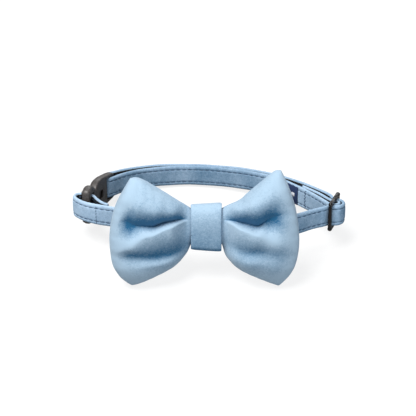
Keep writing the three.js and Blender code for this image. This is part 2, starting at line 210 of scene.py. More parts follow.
def tube_faces(stations, around):
    """Quads round a tube of points, and one face over each of its ends."""
    caps = [tuple(range(around))[::-1], tuple(range((stations - 1) * around, stations * around))]
    return [*ring_faces(stations, around), *caps]


def pick(piece):
    """Select one piece alone and make it the active one."""
    bpy.ops.object.select_all(action="DESELECT")
    piece.select_set(True)
    bpy.context.view_layer.objects.active = piece


def make_piece(name, points, faces, material):
    """A smooth mesh piece from millimetres in the collar's frame, riding on the part's one body."""
    mesh = bpy.data.meshes.new(name)
    mesh.from_pydata(place(points).tolist(), [], [list(map(int, face)) for face in faces])
    mesh.validate()
    piece = bpy.data.objects.new(name, mesh)
    bpy.context.scene.collection.objects.link(piece)
    pick(piece)
    bpy.ops.object.mode_set(mode="EDIT")
    bpy.ops.mesh.select_all(action="SELECT")
    bpy.ops.mesh.remove_doubles(threshold=0.000001)
    bpy.ops.mesh.normals_make_consistent(inside=False)
    bpy.ops.object.mode_set(mode="OBJECT")
    bpy.ops.object.shade_smooth()
    mesh.materials.append(material)
    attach(piece, "root")
    return piece


def set_painted_shade(piece, values):
    """Painted shade at each point: the colour there is painted darker, or painted lighter below zero."""
    layer = piece.data.attributes.new("painted_shade", "FLOAT", "POINT")
    layer.data.foreach_set("value", np.asarray(values, dtype=float).ravel())


# Painted light: faces turned towards this direction, up and to the front left like the main light, are
# painted lighter.
PAINTED_LIGHT_FROM = (-0.25, -0.1, 0.96)


def pile_and_painted_light_group():
    """Short velvet pile: grain, soft patches where it was brushed, and the height of its tufts. Its colour is
    also painted lighter on faces turned up towards the main light and darker on faces turned away, and
    painted darker or lighter again by the painted shade attribute."""
    group = bpy.data.node_groups.new("velvet pile and painted light", "ShaderNodeTree")
    sockets = group.interface
    for name, kind in (("Lit Tone", "Color"), ("Shaded Tone", "Color"), ("Painted Light", "Float"), ("Grain", "Float"),
                       ("Brushed", "Float")):
        sockets.new_socket(name, in_out="INPUT", socket_type=f"NodeSocket{kind}")
    sockets.new_socket("Color", in_out="OUTPUT", socket_type="NodeSocketColor")
    sockets.new_socket("Height", in_out="OUTPUT", socket_type="NodeSocketFloat")
    nodes, links = group.nodes, group.links
    entry = nodes.new("NodeGroupInput")
    leave = nodes.new("NodeGroupOutput")
    where = nodes.new("ShaderNodeTexCoord")

    def cloud(scale, detail, rough):
        node = nodes.new("ShaderNodeTexNoise")
        node.inputs["Scale"].default_value = scale
        node.inputs["Detail"].default_value = detail
        node.inputs["Roughness"].default_value = rough
        links.new(where.outputs["Object"], node.inputs["Vector"])
        return node.outputs["Fac"]

    def work(operation, *values):
        node = nodes.new("ShaderNodeMath")
        node.operation = operation
        for socket, value in zip(node.inputs, values):
            if isinstance(value, (int, float)):
                socket.default_value = value
            else:
                links.new(value, socket)
        return node.outputs["Value"]

    # Painted light: the colour goes from the shaded tone to the lit tone as the face turns towards the main
    # light.
    lean = nodes.new("ShaderNodeVectorMath")
    lean.operation = "DOT_PRODUCT"
    lean.inputs[1].default_value = PAINTED_LIGHT_FROM
    links.new(where.outputs["Normal"], lean.inputs[0])
    grain = cloud(2600.0, 2.0, 0.6)
    tufts = cloud(1000.0, 3.0, 0.6)
    brushed = cloud(75.0, 4.0, 0.55)
    spots = work("ADD", work("SUBTRACT", grain, 0.5), work("SUBTRACT", tufts, 0.5))
    share = work("ADD", work("MULTIPLY", lean.outputs["Value"], entry.outputs["Painted Light"]), 0.5)
    share = work("MULTIPLY_ADD", spots, entry.outputs["Grain"], share)
    share = work("MULTIPLY_ADD", work("SUBTRACT", brushed, 0.5), entry.outputs["Brushed"], share)
    # Painted shade and painted light, read from the point attribute.
    painted_shade = nodes.new("ShaderNodeAttribute")
    painted_shade.attribute_name = "painted_shade"
    share = work("SUBTRACT", share, painted_shade.outputs["Fac"])
    mix = nodes.new("ShaderNodeMix")
    mix.data_type = "RGBA"
    links.new(share, mix.inputs["Factor"])
    links.new(entry.outputs["Shaded Tone"], mix.inputs["A"])
    links.new(entry.outputs["Lit Tone"], mix.inputs["B"])
    links.new(mix.outputs["Result"], leave.inputs["Color"])
    links.new(work("ADD", grain, tufts), leave.inputs["Height"])
    return group


pile_and_painted_light = pile_and_painted_light_group()


def new_material(name):
    """A material, its nodes and links, and the shader that they feed."""
    material = bpy.data.materials.new(name)
    material.use_nodes = True
    nodes, links = material.node_tree.nodes, material.node_tree.links
    return material, nodes, links, nodes["Principled BSDF"]


def velvet(name, lit_tone, shaded_tone, painted_light, grain, brushed, sheen):
    """Velvet in its own blue, its colour painted between a lit tone for faces in the light and a shaded tone
    for faces in shade. nap is the pile seen lit from its side, and ground the pile seen end on.
    """
    material, nodes, links, shader = new_material(name)
    pile = nodes.new("ShaderNodeGroup")
    pile.node_tree = pile_and_painted_light
    pile.inputs["Lit Tone"].default_value = (*lit_tone, 1)
    pile.inputs["Shaded Tone"].default_value = (*shaded_tone, 1)
    pile.inputs["Painted Light"].default_value = painted_light
    pile.inputs["Grain"].default_value = grain
    pile.inputs["Brushed"].default_value = brushed
    bump = nodes.new("ShaderNodeBump")
    bump.inputs["Strength"].default_value = 0.35
    bump.inputs["Distance"].default_value = 0.0002
    links.new(pile.outputs["Color"], shader.inputs["Base Color"])
    links.new(pile.outputs["Height"], bump.inputs["Height"])
    links.new(bump.outputs["Normal"], shader.inputs["Normal"])
    shader.inputs["Roughness"].default_value = 0.95
    shader.inputs["Specular IOR Level"].default_value = 0.1
    shader.inputs["Sheen Weight"].default_value = sheen
    shader.inputs["Sheen Roughness"].default_value = 0.5
    shader.inputs["Sheen Tint"].default_value = (0.72, 0.86, 1, 1)
    return material


# Painted light and shade: the strap's velvet colour runs from a lit tone to a shaded tone.
strap_velvet = velvet("strap velvet", lit_tone=(0.46, 0.62, 0.80), shaded_tone=(0.05, 0.16, 0.29), painted_light=0.35, grain=0.6,
                      brushed=0.9, sheen=0.2)

strap_line, strap_run = evenly(smooth_through(STRAP_ROUTE, 12), STATIONS)
strap_side = sides(strap_line)
half_width = STRAP_WIDTH / 2
row_height = half_width - ROW_INSET
# Heights across the strap: close together at the folded edges and beside the stitching.
heights = np.unique(np.concatenate([
    half_width * np.sin(np.linspace(-0.5, 0.5, 25) * math.pi),
    *(sign * row_height + np.linspace(-0.6, 0.6, 5) for sign in (-1, 1)),
]))


def strap_surface(run, z, face):
    """Half thickness of the strap at a place along and across it, on its left (1) or right (-1) face."""
    edge = np.clip(1 - np.abs(z / half_width) ** EDGE_POWER, 0, 1) ** EDGE_ROUND
    near_row = np.exp(-(((np.abs(z) - row_height) / GROOVE_REACH) ** 2))
    beat = 0.5 + 0.5 * np.cos(2 * math.pi * run / STITCH)
    between = np.clip(1 - (z / row_height) ** 2, 0, 1)
    slack = np.sin(2 * math.pi * run / (1.9 * STITCH) + 1.3 * np.sin(run / 7.3) + face)
    outside = np.clip((np.abs(z) - row_height) / ROW_INSET, 0, 1)
    groove = near_row * (ROW_GROOVE + STITCH_NIP * beat)
    return STRAP_THICK / 2 * edge - groove + PUCKER * between * slack - SCALLOP * outside * beat


def off_strap(away, z):
    """Points at every station of the strap's line, stood off to its left and at the heights z."""
    beside_line = [strap_line[:, k:k + 1] + strap_side[:, k:k + 1] * away for k in range(2)]
    return np.stack([*beside_line, z], axis=2)


# The strap's skin goes up its left face and down its right.
halves = []
for face, zs in ((1, heights), (-1, heights[::-1])):
    run, z = np.meshgrid(strap_run, zs, indexing="ij")
    away = face * np.maximum(strap_surface(run, z, face), THINNEST)
    halves.append(off_strap(away, z + WAVER * np.sin(run / 3.1) * np.sign(z)))
skin = np.concatenate(halves, axis=1)
faces = tube_faces(*skin.shape[:2])
strap = make_piece("velvet_strap", skin.reshape(-1, 3), faces, strap_velvet)
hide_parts("strap")
# Painted light and shade along the strap's run.
set_painted_shade(strap, np.repeat(np.interp(strap_run, *zip(*STRAP_PAINTED_SHADE)), skin.shape[1]))

# ---- Webbing backing
# Black nylon webbing sewn flat on the strap's hidden face. It shows inside the loops and between the two
# layers, with the velvet's folded edges standing past it.
WEBBING_HALF = 4.6
WEBBING_PROUD = 0.06
WEBBING_CORNER = 0.08
WEBBING_GROOVE = 0.12
WEBBING_GROOVE_REACH = 0.35
WEBBING_EDGE_SUNK = 0.25
WEBBING_BED = 0.3  # depth of its hidden face, as a share of the strap's half thickness
flat_half = WEBBING_HALF - WEBBING_CORNER
across_webbing = [-WEBBING_HALF, *np.linspace(-flat_half, flat_half, 17), WEBBING_HALF]
run, z = np.meshgrid(strap_run, across_webbing, indexing="ij")
away = np.full(z.shape, STRAP_THICK / 2 + WEBBING_PROUD)
away -= WEBBING_GROOVE * np.exp(-(((np.abs(z) - row_height) / WEBBING_GROOVE_REACH) ** 2))
away[:, [0, -1]] = STRAP_THICK / 2 - WEBBING_EDGE_SUNK
bed = np.full((STATIONS, 2), WEBBING_BED * STRAP_THICK / 2)
skin = np.concatenate([off_strap(away, z), off_strap(bed, z[:, [-1, 0]])], axis=1)


def two_tone(name, pattern, settings, dark, pale, roughness, ramp=(0, 1), relief=None):
    """A material that goes from dark to pale with a pattern, over the part of it in the ramp, and stands in
    relief by (strength, metres) if that is given. Also its pattern node and shader."""
    material, nodes, links, shader = new_material(name)
    where = nodes.new("ShaderNodeTexCoord")
    texture = nodes.new(f"ShaderNodeTex{pattern}")
    for setting, value in settings.items():
        texture.inputs[setting].default_value = value
    tone = nodes.new("ShaderNodeValToRGB")
    for element, position, colour in zip(tone.color_ramp.elements, ramp, (dark, pale)):
        element.position = position
        element.color = (*colour, 1)
    links.new(where.outputs["Object"], texture.inputs["Vector"])
    links.new(texture.outputs["Fac"], tone.inputs["Fac"])
    links.new(tone.outputs["Color"], shader.inputs["Base Color"])
    if relief:
        bump = nodes.new("ShaderNodeBump")
        bump.inputs["Strength"].default_value, bump.inputs["Distance"].default_value = relief
        links.new(texture.outputs["Fac"], bump.inputs["Height"])
        links.new(bump.outputs["Normal"], shader.inputs["Normal"])
    shader.inputs["Roughness"].default_value = roughness
    return material, texture, shader


nylon, weave, _ = two_tone("black webbing", "Wave", {"Scale": 500, "Distortion": 1.5, "Detail Scale": 3},
                           dark=(0.004, 0.004, 0.005), pale=(0.02, 0.021, 0.024), roughness=0.6,
                           relief=(0.4, 0.0001))
weave.bands_direction = "Z"
make_piece("webbing_backing", skin.reshape(-1, 3), tube_faces(*skin.shape[:2]), nylon)

# ---- Stitching
# Darker blue thread in two rows along the strap, on both faces. A short upright row closes the loop at
# the clip, and a zigzag ties down the end that comes back from the slider.
THREAD = 0.2
THREAD_TIP = 0.35  # thickness of a stitch's ends, as a share of its middle
NOT_ALONG = (0.31, 0.17, 0.93)  # a direction that no stitch runs in
STITCH_SHARE = 0.85  # of its pitch
FIRST_STITCH = 0.58
ROW_PROUD = 0.04
TACK_PROUD = 0.05
CLOSING_SPOT = (-54.3, -6.1)
CLOSING_FROM = -4.7
CLOSING_TO = 4.4
CLOSING_PITCH = 1.55
CLOSING_STITCH = 1.3
CLOSING_LEAN = 0.15
TACK_SPOT = (48.3, 11.7)
TACK_HALF = 4.9
TACK_POINTS = 12
TACK_SIDES = (-0.5, 0.7)


def stitches(spans):
    """Joined round-ended stitches, each from one point to another."""
    around, along = 6, 6
    lift = np.sin(np.linspace(0, math.pi, along))
    one = tube_faces(along, around)
    points, faces = [], []
    for start, end in spans:
        start, end = np.asarray(start, float), np.asarray(end, float)
        ahead = (end - start) / np.linalg.norm(end - start)
        first = np.cross(ahead, NOT_ALONG)
        first /= np.linalg.norm(first)
        second = np.cross(ahead, first)
        base = len(points)
        for k in range(along):
            centre = start + (end - start) * k / (along - 1)
            thick = THREAD * (THREAD_TIP + (1 - THREAD_TIP) * lift[k])
            for m in range(around):
                angle = 2 * math.pi * m / around
                points.append(centre + thick * (math.cos(angle) * first + math.sin(angle) * second))
        faces += [tuple(base + int(m) for m in face) for face in one]
    return np.array(points), faces


def beside(run, z, face, proud):
    """A point on the strap's left or right face, stood off it by a little."""
    at = np.array([np.interp(run, strap_run, strap_line[:, k]) for k in range(2)])
    side = np.array([np.interp(run, strap_run, strap_side[:, k]) for k in range(2)])
    away = face * (float(strap_surface(np.array(run), np.array(z), face)) + proud)
    return (*(at + side * away), z)


def run_at(spot):
    """Distance along the strap to its station nearest a spot."""
    return float(strap_run[np.argmin(np.linalg.norm(strap_line - spot, axis=1))])


spans = []
for face in (1, -1):
    for height in (-row_height, row_height):
        for k in range(int(strap_run[-1] / STITCH) - 1):
            start = (k + FIRST_STITCH) * STITCH
            ends = (start, start + STITCH_SHARE * STITCH)
            spans.append([beside(at, height, face, ROW_PROUD) for at in ends])
# The loop's closing row, and the tack that shows through to the neck side.
closing = run_at(CLOSING_SPOT)
for z in np.arange(CLOSING_FROM, CLOSING_TO, CLOSING_PITCH):
    spans.append((beside(closing, z, -1, TACK_PROUD),
                  beside(closing + CLOSING_LEAN, z + CLOSING_STITCH, -1, TACK_PROUD)))
tack = run_at(TACK_SPOT)
tack_heights = np.linspace(-TACK_HALF, TACK_HALF, TACK_POINTS)
for k, (z, above) in enumerate(zip(tack_heights, tack_heights[1:])):
    here, there = TACK_SIDES[::-1] if k % 2 else TACK_SIDES
    spans.append((beside(tack + here, z, -1, TACK_PROUD), beside(tack + there, above, -1, TACK_PROUD)))
thread, _, _ = two_tone("blue thread", "Noise", {"Scale": 1500}, dark=(0.02, 0.05, 0.11),
                        pale=(0.08, 0.15, 0.26), roughness=0.7)
points, faces = stitches(spans)
make_piece("strap_stitches", points, faces, thread)

# ---- Bow
# One pillow of velvet, two panels sewn together all round and turned, with padding inside. The wrap
# pinches it, which folds each lobe along a deep crease, with a softer dent below.
BOW_SEAM = -26
WAIST_FRONT = -28.8
WAIST_BACK = -20.45
BOW_BACK = 4.6
# Outlines of the lobes, X and Z at the seam. Heights in the padding table run from -1 at the lower seam to 1
# at the upper, and depths are in front of the seam. Each row is at a share of the way out from the wrap. It
# gives the height of the crease and the depth of its floor, how far the shelf runs below it to the ridge,
# the height and depth of the upper puff's crown, the ridge's depth, and the heights and depths of the lower
# puff's dent and roll.
PADDING = ("out", "crease", "floor", "shelf", "crown", "top", "ridge", "dent", "dip", "roll", "belly")
LOBES = (
    {
        "upper": ((-8.5, 11.3), (-14.4, 15.8), (-23.5, 22.1), (-29.5, 26), (-33.4, 27.6), (-36.4, 27.2)),
        "side": ((-36.4, 27.2), (-42, 17.1), (-44.7, 10), (-46.4, 1.4), (-46.5, -6.5), (-45.5, -15),
                 (-42, -22.2), (-36.6, -28)),
        "lower": ((-8.5, -6.8), (-10.4, -11), (-13.9, -15.2), (-17.9, -18.6), (-29.8, -25.2), (-36.6, -28)),
        "padding": (
            (0.00, 0.52, 1.6, 0.10, 0.76, 2.6, 3.0, -0.60, 2.4, -0.84, 2.2),
            (0.14, 0.47, 2.6, 0.10, 0.77, 5.0, 6.6, -0.60, 3.8, -0.88, 3.4),
            (0.34, 0.36, 4.2, 0.10, 0.72, 8.4, 10.0, -0.53, 6.0, -0.70, 7.6),
            (0.53, 0.22, 5.2, 0.12, 0.66, 10.6, 11.4, -0.46, 7.0, -0.61, 9.9),
            (0.71, 0.22, 6.2, 0.30, 0.62, 10.6, 11.4, -0.35, 7.6, -0.57, 10.1),
            (0.83, 0.30, 7.6, 0.46, 0.62, 9.8, 10.6, -0.30, 8.4, -0.54, 9.8),
            (0.93, 0.30, 8.8, 0.50, 0.62, 9.2, 9.4, -0.30, 8.8, -0.54, 9.0),
            (1.00, 0.30, 8.2, 0.50, 0.62, 8.2, 8.2, -0.30, 8.0, -0.54, 8.0),
        ),
    },
    {
        "upper": ((6, 11.3), (9.7, 13.6), (14.7, 16.6), (18.1, 20), (27.9, 29.1), (30.6, 31), (33, 31.2)),
        "side": ((33, 31.2), (36.3, 24.2), (38.8, 17.1), (40.6, 10.4), (42.2, -1), (41.5, -12), (38.8, -20),
                 (33.2, -28.2)),
        "lower": ((6, -6.8), (7.6, -11.8), (9.9, -14.8), (13.9, -18.6), (21.8, -23), (33.2, -28.2)),
        "padding": (
            (0.00, 0.50, 1.6, 0.10, 0.82, 2.6, 3.0, -0.44, 2.6, -0.75, 2.4),
            (0.12, 0.46, 2.4, 0.10, 0.86, 4.8, 6.4, -0.42, 4.8, -0.74, 4.7),
            (0.33, 0.33, 3.6, 0.10, 0.84, 8.4, 9.8, -0.40, 7.4, -0.69, 9.0),
            (0.50, 0.22, 4.6, 0.12, 0.78, 10.6, 11.2, -0.33, 8.6, -0.60, 10.6),
            (0.68, 0.36, 6.6, 0.44, 0.72, 10.4, 10.9, -0.30, 9.8, -0.56, 10.5),
            (0.86, 0.38, 8.6, 0.50, 0.68, 9.5, 9.8, -0.30, 9.3, -0.56, 9.6),
            (1.00, 0.38, 8.2, 0.50, 0.66, 8.2, 8.2, -0.30, 8.0, -0.56, 8.0),
        ),
    },
)
COLUMNS = 120
LOWER_ROWS = 80
UPPER_ROWS = 50
SOFTEN = 3
# How squarely each swelling fills out: the puffs, the lobe's side, the back, and the pinched waist.
UPPER_SWELL = 5
LOWER_SWELL = 2.8
SIDE_SWELL = 7
BACK_SWELL = 2.4
BACK_SIDE_SWELL = 3
WAIST_SWELL = 2.2
NECK_SHARE = 0.28  # of the way out, over which the lobe opens from the waist
BELLY_TUCK = 0.25
CROWN_FALL = 0.4
BROAD_WAVE = 0.22
SEAM_PUCKER = 0.16
SIDE_PUCKER = 0.12
# How much darker the colour is painted in the folds (painted shade), how much lighter on the ridges, puffs,
# side edges and along the seam (painted light), and how it fades towards the wrap.
VALLEY_SHADE = 0.85
RIDGE_LIGHT = 0.3
DENT_SHADE = 0.55
BELLY_LIGHT = 0.1
EDGE_LIGHT = 0.6
SEAM_LIGHT = 0.7
NECK_SHADE = 0.35


def eased(x, xs, ys):
    """A smooth curve through (xs, ys) that never overshoots them."""
    xs, ys = np.asarray(xs, float), np.asarray(ys, float)
    step = np.diff(xs)
    slope = np.diff(ys) / step
    lean = np.zeros(len(xs))
    lean[0], lean[-1] = slope[0], slope[-1]
    same = slope[:-1] * slope[1:] > 0
    ahead, behind = 2 * step[1:] + step[:-1], step[1:] + 2 * step[:-1]
    with np.errstate(divide="ignore", invalid="ignore"):
        mean = (ahead + behind) / (ahead / slope[:-1] + behind / slope[1:])
    lean[1:-1] = np.where(same, mean, 0)
    k = np.clip(np.searchsorted(xs, x) - 1, 0, len(step) - 1)
    t = (x - xs[k]) / step[k]
    a, b = ys[k], ys[k + 1]
    p, q = lean[k] * step[k], lean[k + 1] * step[k]
    return a + p * t + (3 * (b - a) - 2 * p - q) * t**2 + (2 * (a - b) + p + q) * t**3


def smooth_step(share):
    """From 0 to 1 with a level start and end."""
    return share**2 * (3 - 2 * share)


def swell(share, power):
    """Height of a swelling, 1 in its middle and 0 at its rims, squarer for a higher power."""
    return np.clip(1 - np.abs(share) ** power, 0, 1) ** (1 / power)


def lobe_face(lobe, outs, ups):
    """X and Z over a lobe, for shares out from the wrap to the side and up from lower to upper edge."""
    def along(edge, shares):
        line, run = evenly(smooth_through(lobe[edge], 20, 0), 400)
        return np.stack([np.interp(shares, run / run[-1], line[:, k]) for k in range(2)], axis=-1)

    out = outs[..., None]
    up = ups[..., None]
    low_near, high_near = np.array(lobe["lower"][0]), np.array(lobe["upper"][0])
    low_far, high_far = np.array(lobe["lower"][-1]), np.array(lobe["upper"][-1])
    near = low_near + (high_near - low_near) * up
    ruled = along("lower", outs) * (1 - up) + along("upper", outs) * up
    crossed = near * (1 - out) + along("side", 1 - ups) * out
    flat = (low_near * (1 - out) + low_far * out) * (1 - up) + (high_near * (1 - out) + high_far * out) * up
    return ruled + crossed - flat


def front_profile(pad):
    """Heights, depths and painted shade up one column of a lobe's front, with a row right on the crease."""
    share = np.linspace(0, 1, LOWER_ROWS)
    low = pad["crease"] - (pad["crease"] + 1) * smooth_step(share)[::-1]
    share = np.linspace(0, 1, UPPER_ROWS + 1)[1:]
    high = pad["crease"] + (1 - pad["crease"]) * (0.5 * share + 0.5 * np.sin(share * math.pi / 2))
    brink = pad["crease"] - pad["shelf"]
    dent = min(pad["dent"], brink - 0.1)
    under = np.clip((brink - low) / (brink - dent), 0, 1)
    out_again = smooth_step(np.clip((dent - low) / (dent - pad["roll"]), 0, 1))
    front = pad["ridge"] - (pad["ridge"] - pad["dip"]) * under**2
    front += (pad["belly"] - pad["dip"]) * out_again
    beneath = np.clip((pad["roll"] - low) / (1 + pad["roll"]), 0, 1)
    front -= BELLY_TUCK * pad["belly"] * beneath**2
    reach = np.clip((pad["crease"] - low) / pad["shelf"], 0, 1)
    crisp = (1 - (1 - reach) ** 2.2) ** 0.6
    lift = crisp + (smooth_step(reach) - crisp) * np.clip((pad["shelf"] - 0.1) / 0.25, 0, 1)
    shelf = pad["floor"] + (pad["ridge"] - pad["floor"]) * lift
    lower = np.where(low > brink, shelf, front)
    window = np.ones(2 * SOFTEN + 1) / (2 * SOFTEN + 1)
    soft = np.convolve(np.pad(lower, SOFTEN, mode="edge"), window, "valid")
    lower += (soft - lower) * np.clip((brink - low) / 0.1, 0, 1)
    climb = np.clip((high - pad["crease"]) / (pad["crown"] - pad["crease"]), 0, 1)
    fall = np.clip((high - pad["crown"]) / (1 - pad["crown"]), 0, 1)
    upper = pad["floor"] + (pad["top"] - pad["floor"]) * (1 - (1 - climb) ** 1.9)
    upper -= CROWN_FALL * pad["top"] * fall**2
    valley = min((pad["top"] - pad["floor"]) / 2.5, 1)
    pressed = min((pad["ridge"] - pad["dip"]) / 4, 1)
    # Painted light on the ridge, the lower puff and the seam below it; painted shade in the dent and in the
    # valley above the crease.
    light = RIDGE_LIGHT * valley * (1 - under) + BELLY_LIGHT * out_again + SEAM_LIGHT * beneath
    painted_shade = DENT_SHADE * pressed * under**1.5 * (1 - out_again) - light
    painted_shade += (VALLEY_SHADE * valley + light) * (1 - lift) * (low > brink)
    painted_shade = np.concatenate([painted_shade, VALLEY_SHADE * valley * (1 - climb) ** 1.2])
    return np.concatenate([low, high]), np.concatenate([lower, upper]), painted_shade


def wrinkles(x, z, out, w):
    """Slack in the velvet: broad soft waves, and small puckers that fan in from the sewn edges."""
    broad = np.sin(0.33 * x + 0.21 * z + 0.7) * np.sin(0.29 * z - 0.17 * x + 1.9)
    along_edge = np.sin(1.5 * x + 0.5 * np.sin(0.4 * x)) * np.clip((np.abs(w) - 0.72) / 0.28, 0, 1)
    along_side = np.sin(1.25 * z + 0.6 * np.sin(0.5 * z)) * np.clip((out - 0.86) / 0.14, 0, 1)
    return BROAD_WAVE * broad + SEAM_PUCKER * along_edge + SIDE_PUCKER * along_side


def lobe_points(lobe):
    """A closed ring of points round the lobe at each column: up the front panel and down the back one."""
    even = np.linspace(0, 1, COLUMNS)
    outs = 0.5 * even + 0.25 * (1 - np.cos(even * math.pi))
    rows = np.array(lobe["padding"])
    heights, depths, painted_shades = [], [], []
    for out in outs:
        pad = {name: float(eased(out, rows[:, 0], rows[:, k])) for k, name in enumerate(PADDING) if k}
        height, depth, painted_shade = front_profile(pad)
        heights.append(height)
        depths.append(depth)
        painted_shades.append(painted_shade)
    front_w = np.array(heights)
    back_w = front_w[:, -2:0:-1]
    ease = smooth_step(np.clip(outs / NECK_SHARE, 0, 1))[:, None]
    side = swell(outs, SIDE_SWELL)[:, None]
    waist_middle = (WAIST_FRONT + WAIST_BACK) / 2
    waist_half = (WAIST_BACK - WAIST_FRONT) / 2
    rounded = np.where(front_w > 0, swell(front_w, UPPER_SWELL), swell(front_w, LOWER_SWELL))
    padded = BOW_SEAM - np.array(depths) * rounded * side
    pinched = waist_middle - waist_half * swell(front_w, WAIST_SWELL)
    front = pinched * (1 - ease) + padded * ease
    padded = BOW_SEAM + BOW_BACK * swell(outs, BACK_SIDE_SWELL)[:, None] * swell(back_w, BACK_SWELL)
    pinched = waist_middle + waist_half * swell(back_w, WAIST_SWELL)
    back = pinched * (1 - ease) + padded * ease
    w = np.concatenate([front_w, back_w], axis=1)
    flat = lobe_face(lobe, np.broadcast_to(outs[:, None], w.shape), (w + 1) / 2)
    depth = np.concatenate([front, back], axis=1)
    depth += wrinkles(flat[..., 0], flat[..., 1], outs[:, None], w) * swell(w, 4) * ease * side
    rim = np.clip((outs - 0.8) / 0.2, 0, 1)[:, None]
    front_painted_shade = np.array(painted_shades) * ease**NECK_SHADE - EDGE_LIGHT * rim
    # The back panel starts from the same painted light as the front along the seam, and loses it inwards.
    turned_under = np.clip((-back_w - 0.4) / 0.6, 0, 1)
    back_painted_shade = -(SEAM_LIGHT + BELLY_LIGHT) * turned_under * ease**NECK_SHADE - EDGE_LIGHT * rim
    painted_shade = np.concatenate([front_painted_shade, back_painted_shade], axis=1)
    return np.stack([flat[..., 0], depth, flat[..., 1]], axis=2), painted_shade


def sewn(points, faces, values):
    """Points that lie together along the side seams become one, with the value of the first of them."""
    _, first, kept = np.unique(np.round(points, 3), axis=0, return_index=True, return_inverse=True)
    return points[first], kept.reshape(-1)[np.asarray(faces)], values[first]


(left, left_painted_shade), (right, right_painted_shade) = (lobe_points(lobe) for lobe in LOBES)
skin = np.concatenate([left[::-1], right])
painted_shades = np.concatenate([left_painted_shade[::-1], right_painted_shade]).ravel()
points, faces, painted_shades = sewn(skin.reshape(-1, 3), ring_faces(*skin.shape[:2]), painted_shades)
# Painted light and shade: the bow's velvet colour runs from a lit tone to a shaded tone.
bow_velvet = velvet("bow velvet", lit_tone=(0.395, 0.54, 0.68), shaded_tone=(0.022, 0.13, 0.265), painted_light=0.55, grain=0.65,
                    brushed=0.55, sheen=0.34)
bow = make_piece("velvet_bow", points, faces, bow_velvet)
# Painted shade in the bow's folds, and painted light on its ridges, puffs and edges.
set_painted_shade(bow, painted_shades)
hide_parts("bow")

# ---- Wrap
# A separate band of the same velvet round the bow's waist and the strap behind it, its cut edges folded
# in and sewn closed at the back. It is a little taller towards its right edge.
WRAP_LEFT = -8.5
WRAP_RIGHT = 6
WRAP_THICK = 1.3
# Outline of the band seen from the side, Y and Z, from the middle of its flat back over the top.
WRAP_OUTLINE = (
    (-16.65, 0), (-16.65, 4.6), (-17.2, 7.8), (-19.6, 10.9), (-22.9, 13.2), (-25.6, 13.4), (-28.2, 11.8),
    (-29.9, 8.4), (-30.6, 4), (-30.7, 0), (-30.6, -4), (-30.1, -7), (-28.4, -8.7), (-25.5, -8.9),
    (-22.5, -8.5), (-19.5, -7.8), (-17.2, -6.9), (-16.65, -4.6),
)
AROUND_WRAP = 260
ACROSS_WRAP = 40
WRAP_STEPS = 24
EDGE_SQUARE = 0.22
FACE_SQUARE = 0.6
WRAP_WAIST = 0.25  # how far the edges draw in at the front
WRAP_PUFF = 0.35
WRAP_RIPPLE = 0.12
WRAP_TALLER = 0.035
WRAP_LOWER = 0.25
WRAP_PAINTED_SHADE = 0.3  # painted shade: how much darker the colour is painted towards the bottom
SHADE_FROM = 4
SHADE_REACH = 12

# Three turns are smoothed and the middle one kept, so that the loop closes without a kink.
loop = smooth_through(WRAP_OUTLINE * 3, WRAP_STEPS)
turn_points = len(WRAP_OUTLINE) * WRAP_STEPS
loop, _ = evenly(loop[turn_points:2 * turn_points + 1], AROUND_WRAP + 1)
loop = loop[:-1]
ahead = np.roll(loop, -1, axis=0) - np.roll(loop, 1, axis=0)
ahead /= np.linalg.norm(ahead, axis=1)[:, None]
outward = np.stack([ahead[:, 1], -ahead[:, 0]], axis=1)
outward *= np.sign((outward * (loop - loop.mean(axis=0))).sum())
# Round each section: out over the face between the two folded edges, and back along the inside.
theta = np.linspace(0, 2 * math.pi, ACROSS_WRAP, endpoint=False)
share_x = np.sign(np.cos(theta)) * np.abs(np.cos(theta)) ** EDGE_SQUARE
share_n = np.sign(np.sin(theta)) * np.abs(np.sin(theta)) ** FACE_SQUARE
rings = []
for point, normal in zip(loop, outward):
    front = max(0.0, -normal[0])
    ripple = noise.noise(Vector((point[0] * 0.16, point[1] * 0.16, 3.7)))
    width = (WRAP_RIGHT - WRAP_LEFT) / 2 - WRAP_WAIST * front * (1 + ripple)
    x = (WRAP_LEFT + WRAP_RIGHT) / 2 + 0.25 * ripple + share_x * width
    away = -WRAP_THICK / 2 + share_n * WRAP_THICK / 2
    puffed = np.clip(share_n, 0, 1) * (1 - share_x**2)
    away = away + puffed * (WRAP_PUFF * front + WRAP_RIPPLE * ripple)
    taller = 1 + WRAP_TALLER * share_x
    z = (point[1] + normal[1] * away) * taller - WRAP_LOWER * share_x * (point[1] < 0)
    rings.append(np.stack([x, point[0] + normal[0] * away, z], axis=1))
skin = np.array(rings)
# The last ring is joined to the first.
faces = ring_faces(AROUND_WRAP + 1, ACROSS_WRAP) % (AROUND_WRAP * ACROSS_WRAP)
wrap = make_piece("velvet_wrap", skin.reshape(-1, 3), faces, bow_velvet)
# Painted shade, darker towards the bottom of the band.
set_painted_shade(wrap, WRAP_PAINTED_SHADE * np.clip((SHADE_FROM - skin[..., 2]) / SHADE_REACH, 0, 1))
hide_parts("bow_wrap")

